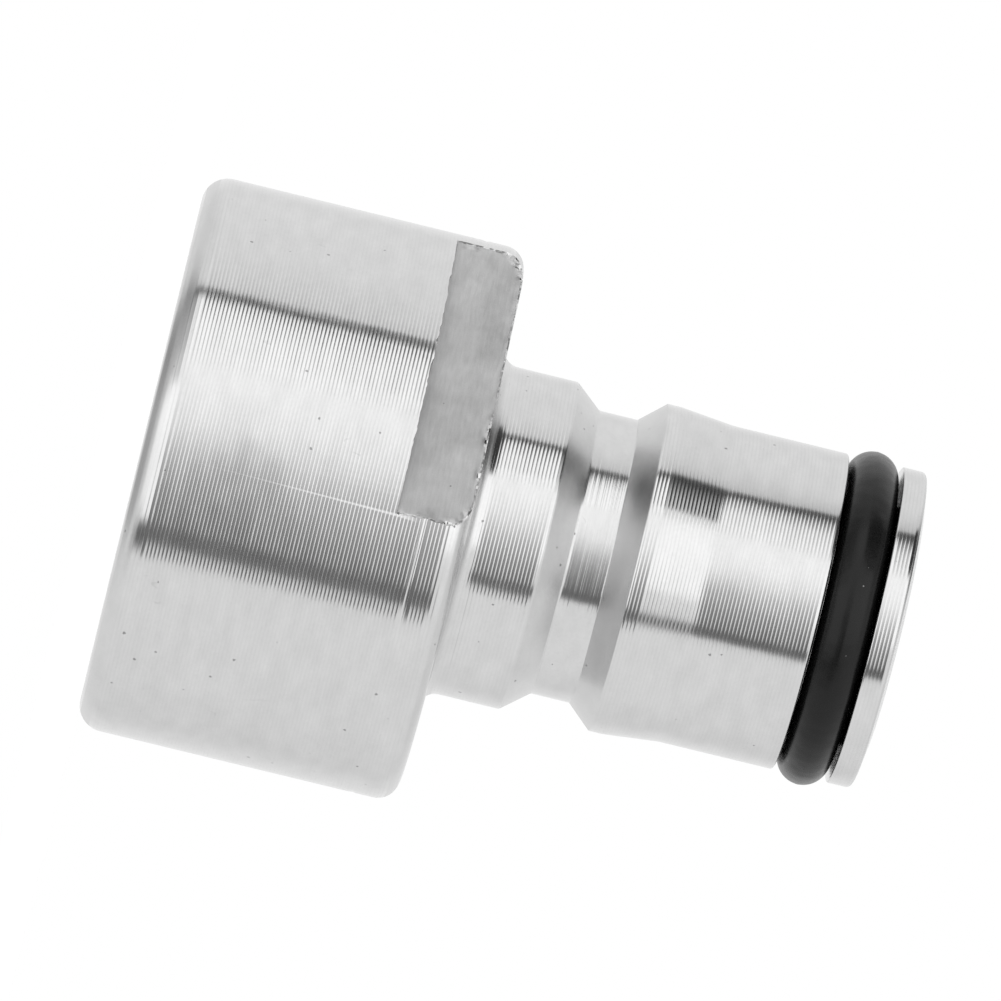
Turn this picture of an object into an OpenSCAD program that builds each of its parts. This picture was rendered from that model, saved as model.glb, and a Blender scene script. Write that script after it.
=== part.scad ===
// Carbonation cap for a plastic drink bottle.
// A cap with an internal bottle thread and a quick-disconnect post is turned from one stainless bar.
// The post holds a sprung poppet valve, and a hose barb screws into the cap from below.
// The cap stands on its rim at z = 0, on the Z axis, with the post upwards.

/* [Cap] */
// Outer diameter of the cap
cap_d = 30; // [27:0.1:34]
// Height of the cap, from the rim to the shoulder
cap_h = 17.5; // [16:0.1:22]
// Radius on the outer edges of the rim and the shoulder
edge_r = 1.4; // [0.6:0.1:1.5]
// Thickness of the wall outside the thread's run-out groove
groove_wall = 1.1; // [0.9:0.05:1.5]
// Depth of the run-out groove outside the crests of the bottle thread
groove_depth = 1.05; // [0.8:0.05:1.3]
// Height of the run-out groove, up to the cavity's roof
relief_h = 2.5; // [2.2:0.1:3.5]
// Thickness of the roof, from the cavity to the shoulder
roof_t = 5; // [4.8:0.1:6]
// Chamfer inside the rim
mouth_chamfer = 0.4; // [0.2:0.1:0.5]

/* [Wrench flats] */
// Distance across the two flats
flat_af = 23.5; // [22:0.1:25]
// Height of the flats, down from the shoulder
flat_h = 3.95; // [3:0.05:4.2]

/* [Post] */
// Diameter of the collar at the foot of the post
base_d = 17.8; // [17:0.1:18.2]
// Height of that collar
base_h = 4.1; // [3.5:0.1:6]
// Radius in the corner between the shoulder and the collar
foot_r = 0.45; // [0.2:0.05:0.8]
// Height of the cone from the collar down to the lock groove
lower_cone_h = 1.45; // [1.2:0.05:2]
// Diameter of the lock groove, where the disconnect's balls sit
lock_d = 15.4; // [15:0.1:16]
// Height of the lock groove's floor
lock_h = 2.1; // [1.6:0.1:3]
// Height of the cone from the lock groove up to the ridge
upper_cone_h = 1.35; // [1.2:0.05:2]
// Diameter of the ridge above the lock groove
ridge_d = 17.8; // [17.4:0.1:18]
// Height of the ridge's land
ridge_land = 0.45; // [0.2:0.05:0.8]
// Height of the taper from the ridge to the barrel
taper_h = 2.85; // [2:0.05:4]
// Diameter of the barrel and of the nose
barrel_d = 17.15; // [16.9:0.05:17.4]
// Height of the barrel, up to the ring groove
barrel_h = 6.6; // [6.4:0.1:10]
// Radius on the barrel's edge at the ring groove
barrel_edge_r = 0.3; // [0.1:0.05:0.4]
// Height of the nose above the ring groove
nose_h = 1.5; // [1.3:0.1:2.5]
// Radius on the outer edge of the nose
nose_r = 0.6; // [0.3:0.05:0.8]

/* [Post ring] */
// Outside diameter of the rubber ring in its groove
ring_d = 18.1; // [17.9:0.05:18.2]
// Thickness of the ring
ring_section = 2.62; // [2.4:0.01:2.8]
// Free width left beside the ring in its groove
ring_play = 0.4; // [0.2:0.05:0.5]

/* [Valve] */
// Diameter of the opening at the top of the post
orifice_d = 7; // [6.8:0.1:7.4]
// Depth of the opening, down to the valve seat
orifice_l = 3.3; // [2.8:0.1:3.8]
// Diameter of the valve chamber
chamber_d = 10.4; // [10.2:0.1:10.6]
// Chamfer at the mouth of the opening
orifice_chamfer = 0.4; // [0.2:0.1:0.6]
// Travel of the poppet when a disconnect pushes it
poppet_travel = 3; // [1:0.1:3]
// Free depth under the poppet's stem when it is pushed down
stem_end_clear = 3.7; // [2.5:0.1:5]
// Diameter of the poppet's pin
pin_d = 3.5; // [3:0.1:4]
// Radius on the edge of the pin's tip
pin_tip_r = 0.7; // [0.3:0.1:0.7]
// Depth of the pin's tip below the top of the post
pin_recess = 0.6; // [0.2:0.1:1]
// Thickness of the poppet's seal ring
seal_section = 1.78; // [1.6:0.02:1.8]
// Diameter of the poppet under its seal ring
seal_seat_d = 4.6; // [4.5:0.1:4.8]
// Height of the small collar that holds the seal ring down
keeper_h = 0.6; // [0.4:0.1:0.8]
// Width of that collar beyond the seal ring's seat
keeper_w = 0.6; // [0.4:0.1:0.7]
// Thickness of the poppet's guide flange
flange_t = 0.9; // [0.7:0.1:1.2]
// Diameter of the poppet's lower stem
stem_d = 3.2; // [2.8:0.1:3.6]
// Radius on the edge of the stem's lower end
stem_tip_r = 0.6; // [0.3:0.1:0.7]
// Number of flow notches in the guide flange
notch_count = 4; // [3:1:5]
// Radius of a flow notch
notch_r = 1.6; // [1.2:0.1:1.7]

/* [Spring] */
// Wire thickness
wire_d = 0.7; // [0.5:0.05:0.8]
// Outside diameter of the coil
coil_d = 7.3; // [6.8:0.1:7.4]
// Number of open turns between the closed ends
open_turns = 6; // [4:1:7]

/* [Hose barb] */
// Diameter of the screwed shank
shank_d = 12; // [11.6:0.1:12.6]
// Length of the screwed shank
shank_l = 8; // [7:0.1:8.4]
// Distance across the hexagon's flats
hex_af = 14; // [13.5:0.5:15]
// Height of the hexagon
hex_h = 2.6; // [2.2:0.1:3]
// Depth by which the hexagon's lower corners are turned down
hex_corner_cut = 0.65; // [0.3:0.05:0.9]
// Diameter over the barbs
barb_d = 8.9; // [8.6:0.1:9.4]
// Depth of the step behind each barb
barb_step = 0.8; // [0.4:0.05:0.9]
// Height over which that step falls
barb_step_h = 0.2; // [0.1:0.05:0.3]
// Width of the land on each barb
barb_land = 0.35; // [0.2:0.05:0.5]
// Spacing of the barbs
barb_pitch = 2.2; // [1.8:0.05:2.3]
// Number of barbs
barb_count = 3; // [2:1:3]
// Plain length between the hexagon and the first barb
barb_root_l = 0.8; // [0.4:0.1:1]
// Bore through the barb
flow_d = 5; // [4.4:0.1:5.4]

/* [Bottle seal] */
// Thickness of the flat seal
seal_t = 1.8; // [1.4:0.1:2.2]
// Free width between the seal and the run-out groove
seal_play = 0.5; // [0.3:0.1:0.6]
// Free width between the seal and the hexagon's corners
seal_hex_gap = 0.3; // [0.2:0.1:0.8]

/* [Clearances] */
// Radial clearance in the shank's screw joint
screw_clear = 0.05; // [0.02:0.01:0.1]
// Depth left free above the shank
shank_end_clear = 0.4; // [0.2:0.1:0.8]
// Radial clearance of the guide flange in the chamber
guide_clear = 0.2; // [0.1:0.05:0.3]
// Radial gap between the coil and the flange's flow notches
notch_clear = 0.15; // [0.1:0.05:0.3]
// Gap between the seal ring and its seat with the valve at rest
seat_gap = 0.06; // [0.04:0.01:0.1]
// Free height beside the poppet's seal ring
seal_groove_play = 0.12; // [0.08:0.02:0.2]
// Radial clearance of the spring in its pocket
pocket_clear = 0.25; // [0.15:0.05:0.3]
// Depth of the spring's pocket in the shank
pocket_depth = 1; // [0.6:0.1:1.4]
// Gap between the spring's ends and their seats
spring_end_gap = 0.03; // [0.02:0.01:0.05]

/* [Hidden] */
$fn = 96;
over = 1;                 // how far a cutting shape runs past the surface it cuts

// Diameters inside the cap, from its outside inwards
relief_d = cap_d - 2 * groove_wall;
thread_bore_d = relief_d - 2 * groove_depth;

// Heights from the rim, in the order of the post's features
roof_z = cap_h - roof_t;
relief_z = roof_z - relief_h;
base_top = cap_h + base_h;
lock_z = base_top + lower_cone_h;
lock_top = lock_z + lock_h;
ridge_z = lock_top + upper_cone_h;
taper_z = ridge_z + ridge_land;
barrel_z = taper_z + taper_h;
ring_groove_z = barrel_z + barrel_h;
ring_groove_w = ring_section + ring_play;
nose_z = ring_groove_z + ring_groove_w;
top_z = nose_z + nose_h;

// Heights inside the valve
seat_z = top_z - orifice_l;
seat_cone_h = (chamber_d - orifice_d) / 2;
chamber_top = seat_z - seat_cone_h;
screw_bore_top = roof_z + shank_l + shank_end_clear;
shank_top = roof_z + shank_l;
spring_z = shank_top - pocket_depth;

// The seal ring lies against the 45 degree seat cone, one gap away from it
seal_r = seal_section / 2;
seal_ring_r = seal_seat_d / 2 + seal_r;
seal_z = seat_z + orifice_d / 2 - seal_ring_r - sqrt(2) * (seal_r + seat_gap);
seal_groove_z = seal_z - seal_r - seal_groove_play / 2;
keeper_z = seal_groove_z + seal_section + seal_groove_play;
flange_z = seal_groove_z - flange_t;
flange_r = chamber_d / 2 - guide_clear;
pin_tip_z = top_z - pin_recess;
stem_end_z = shank_top + stem_end_clear + poppet_travel;

// The barb's heights and radii
hex_z = roof_z - hex_h;
barb_top = hex_z - barb_root_l;
barb_tip = barb_top - barb_count * barb_pitch;
barb_root_r = barb_d / 2 - barb_step;
hex_corner_d = hex_af / cos(30);

// Spring coil
spring_low = spring_z + spring_end_gap + wire_d / 2;
spring_high = flange_z - spring_end_gap - wire_d / 2;
coil_r = (coil_d - wire_d) / 2;
closed_turns = 1;
spring_turns = open_turns + 2 * closed_turns;
steps_per_turn = 20;
wire_sides = 8;

// Half outline of a round bar whose two outer edges are rounded
module rounded_bar_outline(r, h, e) {
    square([r - e, h]);
    translate([0, e]) square([r, h - 2 * e]);
    translate([r - e, e]) circle(e);
    translate([r - e, h - e]) circle(e);
}

// Half outline of the post up to the ring groove, with the lock groove, the ridge and its taper
module post_outline() {
    polygon([
        [0, cap_h - edge_r],
        [base_d / 2, cap_h - edge_r],
        [base_d / 2, base_top],
        [lock_d / 2, lock_z],
        [lock_d / 2, lock_top],
        [ridge_d / 2, ridge_z],
        [ridge_d / 2, taper_z],
        [barrel_d / 2, barrel_z],
        [barrel_d / 2, ring_groove_z - barrel_edge_r],
        [0, ring_groove_z - barrel_edge_r]
    ]);
    translate([0, barrel_z]) square([barrel_d / 2 - barrel_edge_r, barrel_h]);
    translate([barrel_d / 2 - barrel_edge_r, ring_groove_z - barrel_edge_r]) circle(barrel_edge_r);
}

// Rounded corner where the post stands on the shoulder
module foot_fillet_outline() {
    difference() {
        translate([base_d / 2 - over, cap_h - over]) square(foot_r + over);
        translate([base_d / 2 + foot_r, cap_h + foot_r]) circle(foot_r);
    }
}

// Floor of the ring groove, and the nose above it with a rounded outer edge
module nose_outline() {
    translate([0, ring_groove_z - over]) square([ring_d / 2 - ring_section, ring_groove_w + 2 * over]);
    translate([0, nose_z]) square([barrel_d / 2, nose_h - nose_r]);
    translate([0, nose_z]) square([barrel_d / 2 - nose_r, nose_h]);
    translate([barrel_d / 2 - nose_r, top_z - nose_r]) circle(nose_r);
}

// Everything that is bored out along the axis, from the bottle thread to the valve's opening
module bore_outline() {
    translate([0, -over]) square([thread_bore_d / 2, relief_z + 2 * over]);
    polygon([
        [0, -over],
        [thread_bore_d / 2 + mouth_chamfer + over, -over],
        [thread_bore_d / 2, mouth_chamfer],
        [0, mouth_chamfer]
    ]);
    translate([0, relief_z]) square([relief_d / 2, relief_h]);
    translate([0, relief_z]) square([shank_d / 2 + screw_clear, screw_bore_top - relief_z]);
    translate([0, relief_z]) square([chamber_d / 2, chamber_top - relief_z]);
    polygon([
        [0, chamber_top],
        [chamber_d / 2, chamber_top],
        [orifice_d / 2, seat_z],
        [0, seat_z]
    ]);
    translate([0, chamber_top]) square([orifice_d / 2, top_z + over - chamber_top]);
    polygon([
        [0, top_z - orifice_chamfer],
        [orifice_d / 2, top_z - orifice_chamfer],
        [orifice_d / 2 + orifice_chamfer + over, top_z + over],
        [0, top_z + over]
    ]);
}

// The two milled flats for a spanner, cut through the shoulder's rounded edge
module wrench_flat_cuts() {
    for (side = [-1, 1])
        translate([0, side * (flat_af + cap_d) / 2, cap_h - flat_h / 2 + over / 2])
            cube([cap_d + 2 * over, cap_d, flat_h + over], center = true);
}

module cap_body() {
    color([0.78, 0.78, 0.79])
    difference() {
        rotate_extrude() difference() {
            union() {
                rounded_bar_outline(cap_d / 2, cap_h, edge_r);
                post_outline();
                foot_fillet_outline();
                nose_outline();
            }
            bore_outline();
        }
        wrench_flat_cuts();
    }
}

module ring(centre_r, section, z) {
    rotate_extrude() translate([centre_r, z]) circle(d = section);
}

module post_ring() {
    color([0.06, 0.06, 0.06])
    ring((ring_d - ring_section) / 2, ring_section, ring_groove_z + ring_groove_w / 2);
}

// Half outline of a round rod from z0 to z1 whose two end edges are rounded
module rod_outline(r, z0, z1, low_e, high_e) {
    translate([0, z0 + low_e]) square([r, z1 - z0 - low_e - high_e]);
    translate([0, z0]) square([r - low_e, r]);
    translate([0, z1 - r]) square([r - high_e, r]);
    translate([r - low_e, z0 + low_e]) circle(low_e);
    translate([r - high_e, z1 - high_e]) circle(high_e);
}

// Pin, keeper collar, seal seat, notched guide flange and lower stem, turned in one piece
module poppet_pin() {
    color([0.7, 0.7, 0.72])
    difference() {
        rotate_extrude() {
            rod_outline(stem_d / 2, stem_end_z, keeper_z, stem_tip_r, stem_tip_r);
            rod_outline(pin_d / 2, flange_z, pin_tip_z, pin_tip_r, pin_tip_r);
            translate([0, flange_z]) square([flange_r, flange_t]);
            translate([0, flange_z]) square([seal_seat_d / 2, keeper_z - flange_z]);
            translate([0, keeper_z]) square([seal_seat_d / 2 + keeper_w, keeper_h]);
        }
        for (i = [0 : notch_count - 1])
            rotate(i * 360 / notch_count)
                translate([coil_d / 2 + notch_clear + notch_r, 0, flange_z - over])
                    cylinder(r = notch_r, h = flange_t + 2 * over);
    }
}

module poppet_seal() {
    color([0.1, 0.1, 0.1])
    ring(seal_ring_r, seal_section, seal_z);
}

// Height of the wire's centre after t turns: closed coils at both ends, open coils between
function coil_z(t) =
    let (
        rise = spring_high - spring_low,
        closed_rise = closed_turns * wire_d,
        open_pitch = (rise - 2 * closed_rise) / open_turns
    )
    t < closed_turns ? spring_low + t * wire_d
    : t > spring_turns - closed_turns ? spring_high - (spring_turns - t) * wire_d
    : spring_low + closed_rise + (t - closed_turns) * open_pitch;

// One ring of points round the wire at step i of the coil
function wire_section(i) =
    let (turn = 360 * i / steps_per_turn, z = coil_z(i / steps_per_turn))
    [for (k = [0 : wire_sides - 1])
        let (a = 360 * (k + 0.5) / wire_sides, r = coil_r + wire_d / 2 * cos(a))
        [r * cos(turn), r * sin(turn), z + wire_d / 2 * sin(a)]];

module poppet_spring() {
    last = spring_turns * steps_per_turn;
    points = [for (i = [0 : last]) each wire_section(i)];
    side_faces = [for (i = [0 : last - 1], k = [0 : wire_sides - 1])
        let (a = i * wire_sides + k, b = i * wire_sides + (k + 1) % wire_sides)
        each [[a, a + wire_sides, b], [b, a + wire_sides, b + wire_sides]]];
    end_faces = [
        [for (k = [0 : wire_sides - 1]) k],
        [for (k = [wire_sides - 1 : -1 : 0]) last * wire_sides + k]
    ];
    color([0.66, 0.66, 0.68])
    polyhedron(points, concat(side_faces, end_faces));
}

// Half outline of the barbs: each has a cone that faces the rim, a narrow land and a sharp step
module barbs_outline() {
    translate([0, barb_top]) square([barb_root_r, barb_root_l + over]);
    for (i = [0 : barb_count - 1])
        translate([0, barb_tip + i * barb_pitch])
            polygon([
                [0, 0],
                [barb_root_r, 0],
                [barb_d / 2, barb_pitch - barb_land - barb_step_h],
                [barb_d / 2, barb_pitch - barb_step_h],
                [barb_root_r, barb_pitch],
                [0, barb_pitch]
            ]);
}

module hose_barb() {
    pocket_r = coil_d / 2 + pocket_clear;
    color([0.74, 0.74, 0.75])
    difference() {
        union() {
            rotate_extrude() barbs_outline();
            translate([0, 0, hex_z]) intersection() {
                cylinder(d = hex_corner_d, h = hex_h, $fn = 6);
                cylinder(r1 = hex_corner_d / 2 - hex_corner_cut, r2 = hex_corner_d / 2 + hex_h, h = hex_h);
            }
            translate([0, 0, roof_z - over]) cylinder(d = shank_d, h = shank_l + over);
        }
        translate([0, 0, barb_tip - over]) cylinder(d = flow_d, h = shank_top - barb_tip + 2 * over);
        translate([0, 0, spring_z]) cylinder(r = pocket_r, h = pocket_depth + over);
    }
}

module bottle_seal() {
    color([0.9, 0.9, 0.88])
    translate([0, 0, roof_z - seal_t]) difference() {
        cylinder(d = relief_d - 2 * seal_play, h = seal_t);
        translate([0, 0, -over]) cylinder(d = hex_corner_d + 2 * seal_hex_gap, h = seal_t + 2 * over);
    }
}

cap_body();
post_ring();
poppet_pin();
poppet_seal();
poppet_spring();
hose_barb();
bottle_seal();
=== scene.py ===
# %% [markdown]
# # A turned bottle cap and its quick-disconnect post
#
# The object is a steel cap that screws onto a drink bottle, with a post on top that a gas line
# snaps onto. Nearly every piece of it is round, because it was made on a lathe. This lesson
# follows the maker: it turns each piece from an outline, mills two flats for a spanner, cuts the
# bottle thread, and then finishes each surface the way its tool left it.
#
# The packed model comes first. It fixes where every piece is, so nothing here is placed by eye.

# %% Load the packed model
import math

import bmesh
import bpy
from mathutils import Matrix, Vector, noise


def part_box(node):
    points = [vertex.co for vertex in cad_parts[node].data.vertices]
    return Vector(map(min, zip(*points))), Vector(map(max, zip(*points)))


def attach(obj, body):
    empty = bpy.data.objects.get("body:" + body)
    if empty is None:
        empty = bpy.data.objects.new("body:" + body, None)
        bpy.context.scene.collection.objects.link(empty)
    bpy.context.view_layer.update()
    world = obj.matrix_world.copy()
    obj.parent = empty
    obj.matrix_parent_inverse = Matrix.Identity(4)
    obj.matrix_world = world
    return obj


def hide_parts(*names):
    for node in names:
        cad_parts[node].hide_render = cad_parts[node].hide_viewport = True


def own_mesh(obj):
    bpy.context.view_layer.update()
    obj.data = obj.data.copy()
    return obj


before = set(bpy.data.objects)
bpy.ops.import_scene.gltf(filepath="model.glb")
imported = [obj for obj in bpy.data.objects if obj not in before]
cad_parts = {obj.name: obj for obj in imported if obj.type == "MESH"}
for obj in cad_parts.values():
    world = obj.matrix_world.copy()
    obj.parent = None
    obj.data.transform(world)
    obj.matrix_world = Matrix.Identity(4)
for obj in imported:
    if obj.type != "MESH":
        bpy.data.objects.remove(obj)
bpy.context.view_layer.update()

MM = 0.001

# %% [markdown]
# ## Sizes
#
# All sizes below are in millimetres, measured from the rim, which stands on the table. Where a
# neighbour decides a size, it is read from the packed model, so that a piece can't drift away
# from its seat.

# %% Sizes of the cap and the post
CAP_R = 15.0            # outer radius of the cap
CAP_H = 17.38           # height of the shoulder
RIM_R, EDGE_R, FOOT_R = 1.4, 1.15, 0.95     # rounding of the rim, the shoulder and the post's foot
FLAT_Y = 11.75          # distance of a wrench flat from the axis
FLAT_Z = 13.55          # lower end of a wrench flat
COLLAR_R, COLLAR_TOP = 8.9, 21.6
LOCK_R, LOCK_LOW, LOCK_TOP = 7.7, 23.05, 25.15
RIDGE_R, RIDGE_LOW, RIDGE_TOP = 8.9, 26.5, 27.25
BARREL_R, BARREL_LOW, BARREL_TOP = 8.59, 30.2, 36.42
GROOVE_R, NOSE_LOW, TOP = 6.43, 39.38, 40.92
NOSE_SLOPE_W, NOSE_SLOPE_H = 1.8, 0.28      # slight slope at the nose's edge
ORIFICE_R, SEAT_Z = 3.5, 37.62
CHAMBER_R, CHAMBER_TOP = 5.2, 35.92
SCREW_R, SCREW_TOP = 6.05, 20.9
ROOF_Z, RELIEF_Z, RELIEF_R = 12.5, 10.0, 13.9
CREST_R, ROOT_R, THREAD_PITCH = 12.85, 13.85, 2.7
MOUTH = 0.4             # chamfer inside the rim

low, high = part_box("cap_body")
print("cap_body is", round((high.y - low.y) / MM, 2), "mm across and", round(high.z / MM, 2), "mm high")
print("this outline is", 2 * CAP_R, "mm across and", TOP, "mm high")

# %% [markdown]
# ## A lathe
#
# A turned piece is an outline that was spun round an axis. Blender has a Screw modifier and a Spin
# tool for this, but a reflective surface needs more care than they give. Its highlights follow the
# vertex normals, and a normal that is averaged across a long wall and a small rounding bends the
# reflection of the whole wall. So the outline is made here point by point: every corner gets a
# true arc, and a support point sits just beside each arc, which keeps the walls' normals straight.

# %% Round the corners of an outline
TINY = 1e-6             # a length below this counts as none, in mm
SUPPORT = 0.05          # distance of a support point from the end of an arc
ROOM = 4 * SUPPORT      # a wall shorter than this gets no support point
ARC_STEP = math.radians(9)


def corner_arc(corner, to_before, to_after, radius):
    """Points of the arc that rounds a corner, and how far it reaches along the walls."""
    turn = math.pi - to_before.angle(to_after)
    reach = radius * math.tan(turn / 2)
    if reach < TINY:
        return [corner], reach
    centre = corner + (to_before + to_after).normalized() * (radius / math.cos(turn / 2))
    first, last = corner + to_before * reach - centre, corner + to_after * reach - centre
    begin = math.atan2(first.y, first.x)
    sweep = math.remainder(math.atan2(last.y, last.x) - begin, 2 * math.pi)
    steps = max(2, math.ceil(turn / ARC_STEP))
    angles = [begin + sweep * k / steps for k in range(steps + 1)]
    return [centre + Vector((math.cos(angle), math.sin(angle))) * radius for angle in angles], reach


def rounded_outline(corners):
    """Points of a closed outline, from its corners (r, z, radius of the rounding)."""
    points = []
    for i, (r, z, radius) in enumerate(corners):
        corner = Vector((r, z))
        before = Vector(corners[i - 1][:2]) - corner
        after = Vector(corners[(i + 1) % len(corners)][:2]) - corner
        to_before, to_after = before.normalized(), after.normalized()
        arc, reach = corner_arc(corner, to_before, to_after, radius)
        if before.length - reach > ROOM:
            points.append(corner + to_before * (reach + SUPPORT))
        points.extend(arc)
        if after.length - reach > ROOM:
            points.append(corner + to_after * (reach + SUPPORT))
    return [(p.x, p.y) for p in points]


square = rounded_outline([(1, 0, 0), (3, 0, 0.5), (3, 2, 0), (1, 2, 0)])
print("a square with one rounded corner has", len(square), "points")

# %% Spin an outline into a closed mesh
TURNS = 256             # faces round the axis
AXIS_GAP = 1e-7         # points nearer than this, as on the axis, are one, in metres
SHARP, WIRE_SHARP = 28, 60      # an edge sharper than this stays sharp, in degrees


def add_object(name, bm):
    """Puts a finished bmesh into the scene as an object."""
    mesh = bpy.data.meshes.new(name)
    bm.to_mesh(mesh)
    bm.free()
    made = bpy.data.objects.new(name, mesh)
    bpy.context.scene.collection.objects.link(made)
    return made


def spin(name, outline, reshape=None, turns=TURNS):
    """A closed mesh object, made by turning the outline's points (r, z in mm) round the Z axis."""
    count = len(outline)
    vertices = []
    for step in range(turns):
        angle = 2 * math.pi * step / turns
        for r, z in outline:
            if reshape:
                r, z = reshape(r, z, angle)
            vertices.append((r * MM * math.cos(angle), r * MM * math.sin(angle), z * MM))
    faces = []
    for step in range(turns):
        a, b = step * count, (step + 1) % turns * count
        for i in range(count):
            j = (i + 1) % count
            if outline[i][0] or outline[j][0]:
                faces.append((a + i, b + i, b + j, a + j))
    draft = bpy.data.meshes.new("draft")
    draft.from_pydata(vertices, [], faces)
    bm = bmesh.new()
    bm.from_mesh(draft)
    bpy.data.meshes.remove(draft)
    bmesh.ops.remove_doubles(bm, verts=bm.verts, dist=AXIS_GAP)
    bmesh.ops.delete(bm, geom=[v for v in bm.verts if not v.link_faces], context="VERTS")
    bmesh.ops.recalc_face_normals(bm, faces=bm.faces)
    return add_object(name, bm)


def smooth(piece, angle=SHARP):
    """Shades a piece smoothly, apart from its sharp edges."""
    piece.data.shade_smooth()
    piece.data.set_sharp_from_angle(angle=math.radians(angle))
    print(piece.name, "has", len(piece.data.polygons), "faces")
    return piece


print("a full turn has", TURNS, "faces")

# %% [markdown]
# ## Cutting with another shape
#
# A mill and a drill remove what their cutter passes through, and a Boolean modifier does the same.
# The exact solver keeps the mesh closed, so it is applied straight away and the cutter is deleted.
# Where two shapes meet in one point the solver can leave two points there, which are joined. It
# also leaves points on an edge that only two faces share. They carry no shape and are taken out,
# because two faces that are cut into triangles can end up sharing a line across such a point.

# %% Cut one mesh with another
SAME_POINT = 1e-8       # points nearer than this are one after a cut, in metres


def cut(piece, cutter, operation="DIFFERENCE"):
    """Applies a Boolean of the cutter to the piece and deletes the cutter."""
    modifier = piece.modifiers.new("cut", "BOOLEAN")
    modifier.object = cutter
    modifier.operation = operation
    modifier.solver = "EXACT"
    graph = bpy.context.evaluated_depsgraph_get()
    result = bpy.data.meshes.new_from_object(piece.evaluated_get(graph))
    bm = bmesh.new()
    bm.from_mesh(result)
    bmesh.ops.remove_doubles(bm, verts=bm.verts, dist=SAME_POINT)
    bmesh.ops.dissolve_verts(bm, verts=[point for point in bm.verts if len(point.link_edges) == 2])
    bm.to_mesh(result)
    bm.free()
    piece.modifiers.clear()
    piece.data = result
    bpy.data.objects.remove(cutter)
    return piece


print("a cut joins points nearer than", SAME_POINT / MM, "mm")

# %% [markdown]
# ## The bottle thread
#
# A plastic bottle has a coarse right-handed thread, here with 2.7 mm from turn to turn. A thread is
# a groove that climbs as it goes round. It could be cut with a swept profile and a Boolean, but a
# spun mesh needs no extra geometry: each point of the bore is pushed outwards by a depth that
# depends on its height and its angle together.

# %% Thread groove inside the rim
THREAD_LOW = MOUTH
THREAD_ROWS = 90
ROOT_GAP = 0.01         # keeps the groove clear of the run-out's wall, in mm
FLANK = 0.20            # share of the pitch that each sloping side takes
ROOT = 0.24             # share of the pitch at full depth
LEAD_IN = 1.1           # height over which the groove deepens, in mm


def ease(value):
    """0 below 0, 1 above 1, and a smooth step between."""
    value = min(1.0, max(0.0, value))
    return value * value * (3 - 2 * value)


def groove_depth(phase):
    """Share of the full depth at this phase of the thread, with sloping flanks."""
    return 1 - ease((abs(phase - 0.5) - ROOT / 2) / FLANK)


def cut_thread(r, z, angle):
    """Pushes a point of the bore outwards where the thread groove passes."""
    if abs(r - CREST_R) > TINY or not THREAD_LOW < z <= RELIEF_Z:
        return r, z
    phase = (z / THREAD_PITCH - angle / (2 * math.pi)) % 1.0
    depth = (ROOT_R - ROOT_GAP - CREST_R) * groove_depth(phase) * ease((z - THREAD_LOW) / LEAD_IN)
    return r + depth, z


print("the thread has", round((RELIEF_Z - THREAD_LOW) / THREAD_PITCH, 1), "turns")

# %% [markdown]
# ## The cap body
#
# Cap, post and nose are one piece of steel: the photograph shows no joint line between them. They
# could be several cylinders and cones, joined, but one outline keeps every edge exactly round and
# the mesh closed. It runs from the rim's inner edge, up the outside, over the nose and back down
# through the valve chamber and the thread. A shallow line is turned round the cap below the
# shoulder.

# %% Outline of the cap body
LINE_Z, LINE_W, LINE_DEPTH = 15.12, 0.40, 0.035     # the turned line below the shoulder
OUTSIDE = [
    (CREST_R + MOUTH, 0, 0.05),
    (CAP_R, 0, RIM_R),
    (CAP_R, LINE_Z - LINE_W / 2, 0),
    (CAP_R - LINE_DEPTH, LINE_Z, 0),
    (CAP_R, LINE_Z + LINE_W / 2, 0),
    (CAP_R, CAP_H, EDGE_R),
    (COLLAR_R, CAP_H, FOOT_R),
    (COLLAR_R, COLLAR_TOP, 0.30),
    (LOCK_R, LOCK_LOW, 0.25),
    (LOCK_R, LOCK_TOP, 0.15),
    (RIDGE_R, RIDGE_LOW, 0.15),
    (RIDGE_R, RIDGE_TOP, 0.6),
    (BARREL_R, BARREL_LOW, 3.0),
    (BARREL_R, BARREL_TOP, 0.14),
    (GROOVE_R, BARREL_TOP, 0.15),
    (GROOVE_R, NOSE_LOW, 0.15),
    (BARREL_R, NOSE_LOW, 0.12),
    (BARREL_R, TOP - NOSE_SLOPE_H, 0.28),
    (BARREL_R - NOSE_SLOPE_W, TOP, 0.5),
]
INSIDE = [
    (ORIFICE_R + MOUTH, TOP, 0.06),
    (ORIFICE_R, TOP - MOUTH, 0.06),
    (ORIFICE_R, SEAT_Z, 0.1),
    (CHAMBER_R, CHAMBER_TOP, 0.1),
    (CHAMBER_R, SCREW_TOP, 0.08),
    (SCREW_R, SCREW_TOP, 0.08),
    (SCREW_R, ROOF_Z, 0.2),
    (RELIEF_R, ROOF_Z, 0.12),
    (RELIEF_R, RELIEF_Z, 0.05),
]
thread_wall = [
    (CREST_R, RELIEF_Z + (THREAD_LOW - RELIEF_Z) * row / THREAD_ROWS, 0)
    for row in range(THREAD_ROWS + 1)
]
cap_outline = rounded_outline(OUTSIDE + INSIDE + thread_wall)
cap = spin("turned_cap_body", cap_outline, reshape=cut_thread)
print("outline:", len(cap_outline), "points, mesh:", len(cap.data.polygons), "faces")

# %% [markdown]
# ## The wrench flats
#
# After turning, two flats were milled across the shoulder. A plain box would cut them, but it would
# leave a border like a drawn line. A real mill tears the steel where it breaks through the round
# edge. So the cutter is a slab of many points, close together where the border will run. Its face
# is uneven by a few thousandths of a millimetre, and by up to 0.2 mm at the border.

# %% How a mill leaves its face
BORDER_RAG = 0.32       # how deep the mill tears the flat's border, in mm
BORDER_W = 0.22         # how wide the torn strip is
FACE_RAG = 0.004        # unevenness of the flat itself


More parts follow.
